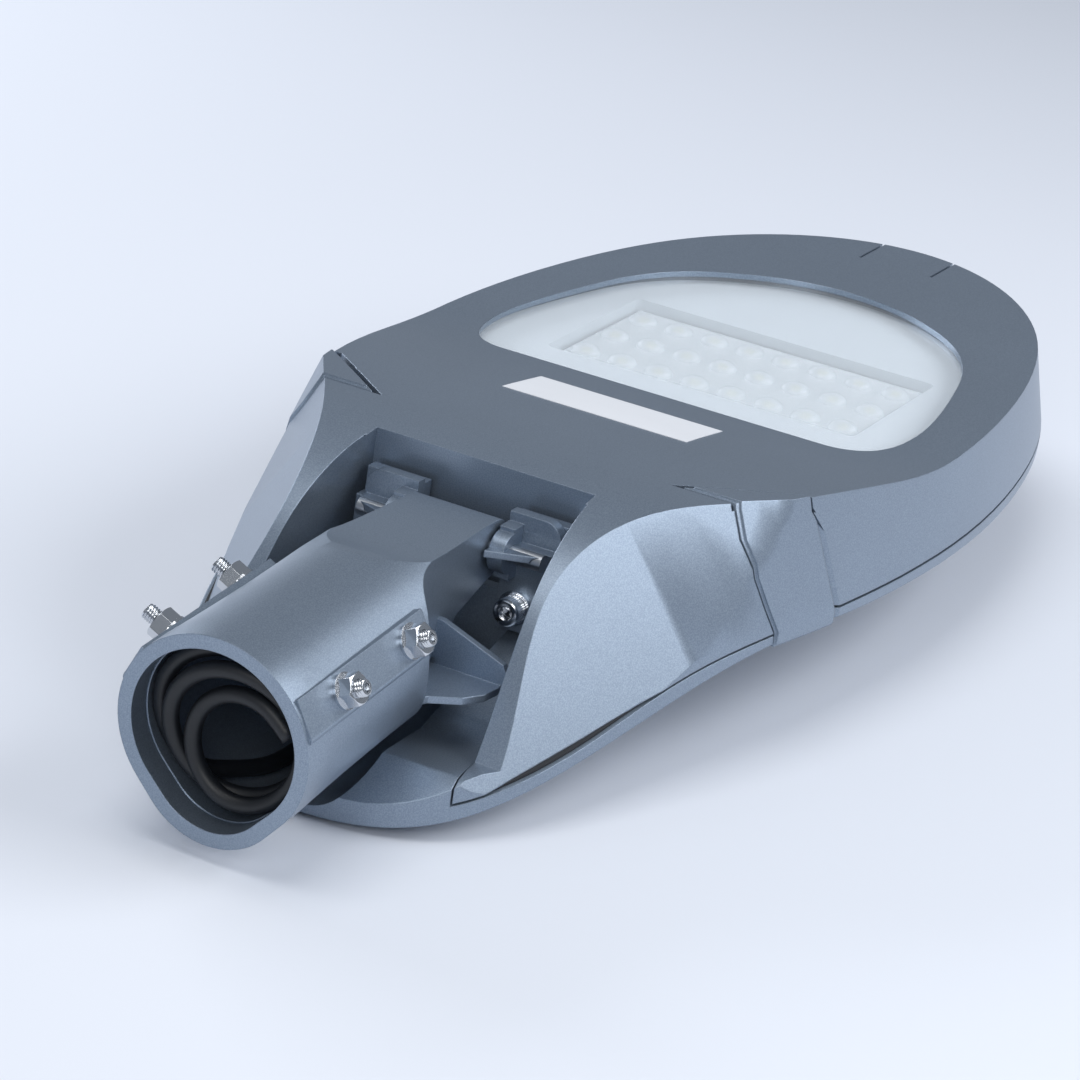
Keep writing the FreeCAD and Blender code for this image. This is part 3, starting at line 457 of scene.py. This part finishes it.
finishes = {
    "top_housing": bodyPaint, "cover": bodyPaint, "spigot": bodyPaint,
    "latch_left": bodyPaint, "latch_right": bodyPaint,
    "clamp_block_left": bodyPaint, "clamp_block_right": bodyPaint,
    "housing_gasket": siliconeSeal, "glass_seal": siliconeSeal, "window_glass": temperedFloatGlass,
    "reflector_panel": whiteReflector, "led_tray": castTrayAluminium, "led_board": solderMask,
    "gear_plate": zincPlatedSteel, "driver": driverCase, "core_sleeve": driverCase,
    "terminal_block": greyPolyamide, "surge_protector": greyPolyamide, "cable_gland": greyPolyamide,
    "gland_nut": greyPolyamide, "rating_label": labelVinyl,
    "pivot_shaft": zincPlatedSteel, "hinge_pin": zincPlatedSteel, "latch_pin_left": zincPlatedSteel,
    "latch_pin_right": zincPlatedSteel,
}
finishStarts = {
    "grub_": nickelPlatedSteel, "clamp_washer": nickelPlatedSteel, "clamp_screw": nickelPlatedSteel,
    "board_screw": zincPlatedSteel, "tray_screw": zincPlatedSteel, "gear_screw": zincPlatedSteel,
    "lens_strip": mouldedAcrylic,
}


def finishFor(name):
    if name in finishes:
        return finishes[name]
    return next((value for start, value in finishStarts.items() if name.startswith(start)), bodyPaint)


def newShapeGroup(name):
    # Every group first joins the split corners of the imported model
    group = bpy.data.node_groups.new(name, "GeometryNodeTree")
    for way in ("INPUT", "OUTPUT"):
        group.interface.new_socket("Geometry", in_out=way, socket_type="NodeSocketGeometry")
    start = addNode(group, "NodeGroupInput")
    merged = addNode(group, "GeometryNodeMergeByDistance", values={"Distance": 0.01 * mm},
                     links={"Geometry": start.outputs[0]})
    return group, merged


softShadeValues = {"gentleEdge": 24}     # degrees, edges up to this angle are shaded smoothly


def softShadeGroup(values):
    group, merged = newShapeGroup("softShade")
    faces = addNode(group, "GeometryNodeSetShadeSmooth", {"domain": "FACE"}, {"Shade Smooth": True},
                    {"Geometry": merged.outputs[0]})
    angle = addNode(group, "GeometryNodeInputMeshEdgeAngle")
    gentle = addNode(group, "FunctionNodeCompare", {"data_type": "FLOAT", "operation": "LESS_EQUAL"},
                     {1: math.radians(values["gentleEdge"])}, {0: angle.outputs["Unsigned Angle"]})
    edges = addNode(group, "GeometryNodeSetShadeSmooth", {"domain": "EDGE"},
                    links={"Geometry": faces.outputs[0], "Shade Smooth": gentle.outputs[0]})
    addNode(group, "NodeGroupOutput", links={0: edges.outputs[0]})
    return group


recessTrimValues = {
    # the block that is cut away over the recess behind the spigot
    "middle": (210 * mm, 0, 65 * mm),
    "size": (24 * mm, 112 * mm, 20 * mm),
}


def recessTrimGroup(values):
    # Takes away the thin skin that the CAD cover has over the back of the recess
    group, merged = newShapeGroup("recessTrim")
    block = addNode(group, "GeometryNodeMeshCube", values={"Size": values["size"]})
    placed = addNode(group, "GeometryNodeTransform", values={"Translation": values["middle"]},
                     links={"Geometry": block.outputs[0]})
    trimmed = addNode(group, "GeometryNodeMeshBoolean", {"operation": "DIFFERENCE", "solver": "EXACT"},
                      links={0: merged.outputs[0], 1: placed.outputs[0]})
    addNode(group, "NodeGroupOutput", links={0: trimmed.outputs[0]})
    return group


def addShapeGroup(piece, group):
    piece.modifiers.new(group.name, "NODES").node_group = group


addShapeGroup(nodes["cover"], recessTrimGroup(recessTrimValues))
softShade = softShadeGroup(softShadeValues)
for name, piece in nodes.items():
    piece.data.materials.clear()
    piece.data.materials.append(finishFor(name))
    addShapeGroup(piece, softShade)
print("finishes assigned")


# Set screws with their threads, and the two socket head screws behind the clamp blocks

screwValues = {
    # M8, in mm
    "radius": 4.0, "pitch": 1.25, "depth": 0.62, "crest": 0.8, "rowsPerPitch": 6, "sides": 48,
    # set screws: distance from the mouth, degrees above the side, and where they start and
    # end out of the middle of the tube, on the left (1) and on the right (-1)
    "stations": (33.3, 88.3), "rise": 27.0, "from": 41.0, "to": {1: 61.5, -1: 58.5},
    "grubSocket": 2.0, "socketDepth": 3.6, "endRadius": 3.1,
    # socket head screws
    "headRadius": 6.5, "headHeight": 8.0, "headSocket": 3.0, "headSocketDepth": 4.0,
    "knurls": 40, "knurlDepth": 0.22, "shank": 13.6, "plainShank": 3.0,
    "clampPlace": (202.4, 33.0, 5.5),
    "drillPoint": 0.8,     # the cone at the bottom of a socket
    "chamfer": 0.05,       # between two rows that make a sharp edge
}


def turnedMesh(values, name, rows, sides):
    # A row is height, radius and kind: plain round, hexagonal, knurled or threaded
    mesh = bmesh.new()
    rings = []
    for height, radius, kind in rows:
        ring = []
        for corner in range(sides):
            angle = 2 * math.pi * corner / sides
            reach = radius
            if kind == "hexagon":
                reach = radius / math.cos((angle + math.pi / 6) % (math.pi / 3) - math.pi / 6)
            elif kind == "knurl":
                reach = radius - values["knurlDepth"] * (corner % 2)
            elif kind == "thread":
                turn = (height / values["pitch"] - corner / sides) % 1
                reach = radius - values["depth"] * (1 - abs(2 * turn - 1)) ** values["crest"]
            place = Vector((reach * math.cos(angle), reach * math.sin(angle), height))
            ring.append(mesh.verts.new(place * mm))
        rings.append(ring)
    joinRings(mesh, rings)
    mesh.faces.new(list(reversed(rings[0])))
    mesh.faces.new(rings[-1])
    return meshFrom(name, mesh)


def threadRows(values, start, end):
    count = int((end - start) / values["pitch"] * values["rowsPerPitch"])
    return [(start + (end - start) * index / count, values["radius"], "thread") for index in range(count + 1)]


def grubRows(values, side):
    end, socket = values["to"][side], values["grubSocket"]
    bottom = end - values["socketDepth"]
    rows = threadRows(values, values["from"], end - 0.8)
    rows += [(end - values["chamfer"], values["endRadius"] + 0.2, "round")]
    rows += [(end, values["endRadius"], "round")]
    rows += [(end, socket, "hexagon"), (bottom, socket, "hexagon")]
    return rows + [(bottom - values["drillPoint"], 0.4, "round")]


def capRows(values):
    # Thread, plain shank, knurled head with a rounded rim, then down into the socket
    radius, height, socket = values["headRadius"], values["headHeight"], values["headSocket"]
    shank, plain = values["radius"], values["plainShank"]
    bottom = height - values["headSocketDepth"]
    rows = threadRows(values, -values["shank"], -plain)
    rows += [(0.1 - plain, shank, "round"), (0, shank, "round")]
    rows += [(0, radius - 0.3, "round"), (0.4, radius, "knurl"), (height - 0.9, radius, "knurl")]
    rows += [(height - 0.6, radius - 0.25, "round"), (height - 0.15, radius - 0.75, "round")]
    rows += [(height, radius - 1.1, "round"), (height, socket + 0.35, "round")]
    rows += [(height - 0.35, socket, "hexagon"), (bottom, socket, "hexagon")]
    return rows + [(bottom - values["drillPoint"], 0.5, "round")]


def placeScrew(name, data, middle, axis, body, node):
    axis = axis.normalized()
    first = axis.orthogonal().normalized()
    turn = Matrix((first, axis.cross(first), axis)).transposed().to_4x4()
    data.transform(Matrix.Translation(middle) @ turn)
    piece = meshPiece(name, data, body, nickelPlatedSteel)
    addShapeGroup(piece, softShade)
    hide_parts(node)


def makeScrews(values):
    along, upward = spigotAxes(spigotTilt)
    angle = math.radians(values["rise"])
    number = 0
    for station in values["stations"]:
        for side in (1, -1):
            number += 1
            name = "grubThread" + str(number)
            axis = Vector((0, side * math.cos(angle), 0)) + upward * math.sin(angle)
            data = turnedMesh(values, name, grubRows(values, side), values["sides"])
            placeScrew(name, data, along * station * mm, axis, "spigot", "grub_screw_" + str(number))
    x, y, z = values["clampPlace"]
    for word, side in (("left", 1), ("right", -1)):
        name = "capScrew" + word.title()
        data = turnedMesh(values, name, capRows(values), values["knurls"] * 2)
        middle = Vector((x, side * y, z)) * mm
        placeScrew(name, data, middle, Vector((-1, 0, 0)), "housing", "clamp_screw_" + word)


makeScrews(screwValues)
print("screws turned")


# LED module: board, chips and one clear sheet of lenses, just below the reflector

moduleValues = {
    # the opening in the reflector and the gap around the board, mm
    "x": (453.0, 558.0), "half": 85.0, "gap": 2.2,
    "boardTop": 26.4, "board": 1.6, "boardEdge": 0.2,
    "sheet": 1.4, "sheetAbove": 0.1, "sheetInset": 3, "sheetEdge": 0.4,
    "rows": 3, "columns": 8, "pitchX": 33.0, "pitchY": 20.5,
    "lens": 7.6, "lensHeight": 4.4, "lensSides": 28, "lensRings": 9,
    "chip": 3.4, "chipHeight": 0.7,
}


def addBlock(mesh, centre, size, rounding):
    made = bmesh.ops.create_cube(mesh, size=1)
    for vertex in made["verts"]:
        vertex.co = Vector([vertex.co[axis] * size[axis] + centre[axis] for axis in range(3)]) * mm
    edges = list(dict.fromkeys(edge for vertex in made["verts"] for edge in vertex.link_edges))
    bmesh.ops.bevel(mesh, geom=edges, offset=rounding * mm, segments=2, affect="EDGES", profile=0.5)


def addDome(mesh, values, x, y, base):
    # Lens dome: rings that follow an ellipse, closed by one point at the top
    rings = []
    for step in range(values["lensRings"]):
        angle = math.pi / 2 * step / values["lensRings"]
        reach = values["lens"] * math.cos(angle)
        height = base + values["lensHeight"] * math.sin(angle)
        ring = []
        for corner in range(values["lensSides"]):
            around = 2 * math.pi * corner / values["lensSides"]
            place = Vector((x + reach * math.cos(around), y + reach * math.sin(around), height))
            ring.append(mesh.verts.new(place * mm))
        rings.append(ring)
    joinRings(mesh, rings, smooth=True)
    top = mesh.verts.new(Vector((x, y, base + values["lensHeight"])) * mm)
    for first, second in zip(rings[-1], rings[-1][1:] + rings[-1][:1]):
        mesh.faces.new((first, second, top)).smooth = True


def makeModule(values):
    x0, x1 = values["x"]
    middle, gap, top = (x0 + x1) / 2, values["gap"], values["boardTop"]
    length, width = x1 - x0 - 2 * gap, 2 * (values["half"] - gap)
    board = bmesh.new()
    addBlock(board, (middle, 0, top - values["board"] / 2),
             (length, width, values["board"]), values["boardEdge"])
    sheet = bmesh.new()
    inset, thickness = values["sheetInset"], values["sheet"]
    addBlock(sheet, (middle, 0, top + values["sheetAbove"] + thickness / 2),
             (length - inset, width - inset, thickness), values["sheetEdge"])
    chips = bmesh.new()
    chip, chipHeight = values["chip"], values["chipHeight"]
    for row in range(values["rows"]):
        for column in range(values["columns"]):
            x = middle + values["pitchX"] * (row - (values["rows"] - 1) / 2)
            y = values["pitchY"] * (column - (values["columns"] - 1) / 2)
            addBlock(chips, (x, y, top + chipHeight / 2), (chip, chip, chipHeight), values["boardEdge"])
            addDome(sheet, values, x, y, top + thickness)
    face = meshPiece("ledBoardFace", meshFrom("ledBoardFace", board), "housing", solderMask)
    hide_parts("led_board")
    meshPiece("ledChips", meshFrom("ledChips", chips), "housing", ledPhosphor)
    lenses = meshPiece("lensSheet", meshFrom("lensSheet", sheet), "housing", mouldedAcrylic)
    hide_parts("lens_strip_1", "lens_strip_2", "lens_strip_3")


makeModule(moduleValues)
print("LED module placed")


# The sheathed end of the cable inside the gland and the housing

sheathValues = {"length": 34.5, "steps": 4}


def makeSheathEnd(values):
    x, z = cableValues["lead"][0]
    places = [Vector(((x + values["length"] * step / values["steps"]) * mm, 0, z * mm))
              for step in range(values["steps"] + 1)]
    data = tubeMesh("sheathEnd", places, cableValues["diameter"] / 2, cableValues["sides"])
    meshPiece("sheathEnd", data, "housing", rubberSheath)


makeSheathEnd(sheathValues)


# Floor, lamps and world

stageValues = {
    "floor": "#E0E4EC",
    "floorSize": 14.0,
    "floorBelow": 0.4 * mm,      # under the lowest point of the head
    "lamps": [
        # name, place, aimed at, width, height, watts, colour
        ("keySoftbox", (0.8, -1.45, 1.2), (0.3, 0, 0), 1.7, 1.1, 25, "#FAFCFF"),
        ("topSoftbox", (-0.3, 0.1, 2.2), (0.30, 0, 0), 1.3, 1.3, 19, "#FFFFFF"),
        ("leftSoftbox", (0.8, 1.75, 0.85), (0.3, 0, 0), 1.4, 0.8, 18, "#F6F9FF"),
        ("frontFill", (-1.9, -0.7, 1.2), (0.1, 0, 0), 1.1, 0.9, 14, "#FFFFFF"),
    ],
    "world": "#CCD5E2",
    "worldStrength": 0.36,
}


def makeFloor(values):
    material, tree, output = newMaterial("paintedStudioFloor")
    place = addNode(tree, "ShaderNodeTexCoord")
    clouds = addNode(tree, "ShaderNodeTexNoise", values={"Scale": 0.9, "Detail": 1.0},
                     links={"Vector": place.outputs["Object"]})
    tone = addNode(tree, "ShaderNodeMapRange", values={"To Min": 0.96, "To Max": 1.05},
                   links={"Value": clouds.outputs["Fac"]})
    colour = addNode(tree, "ShaderNodeHueSaturation", values={"Color": toLinear(values["floor"])},
                     links={"Value": tone.outputs[0]})
    shader = addNode(tree, "ShaderNodeBsdfPrincipled", values={"Roughness": 0.75, "Specular IOR Level": 0.2},
                     links={"Base Color": colour.outputs["Color"]})
    tree.links.new(shader.outputs[0], output.inputs["Surface"])
    half = values["floorSize"] / 2
    level = cadBox[0].z - values["floorBelow"]
    corners = [(x * half, y * half, level) for x, y in ((-1, -1), (1, -1), (1, 1), (-1, 1))]
    data = bpy.data.meshes.new("studioFloor")
    data.from_pydata(corners, [], [(0, 1, 2, 3)])
    data.materials.append(material)
    floor = bpy.data.objects.new("studioFloor", data)
    bpy.context.scene.collection.objects.link(floor)


def makeLamps(values):
    for name, place, aim, width, height, watts, colour in values["lamps"]:
        data = bpy.data.lights.new(name, "AREA")
        data.shape = "RECTANGLE"
        data.size = width
        data.size_y = height
        data.energy = watts
        data.color = toLinear(colour)[:3]
        lamp = bpy.data.objects.new(name, data)
        bpy.context.scene.collection.objects.link(lamp)
        lamp.location = place
        lamp.rotation_euler = (Vector(aim) - Vector(place)).to_track_quat("-Z", "Y").to_euler()


def makeWorld(values):
    world = bpy.data.worlds.new("studioWorld")
    world.use_nodes = True
    tree = world.node_tree
    tree.nodes.clear()
    output = addNode(tree, "ShaderNodeOutputWorld")
    light = addNode(tree, "ShaderNodeBackground",
                    values={"Color": toLinear(values["world"]), "Strength": values["worldStrength"]})
    tree.links.new(light.outputs[0], output.inputs["Surface"])
    bpy.context.scene.world = world


makeFloor(stageValues)
makeLamps(stageValues)
makeWorld(stageValues)
print("stage lit")
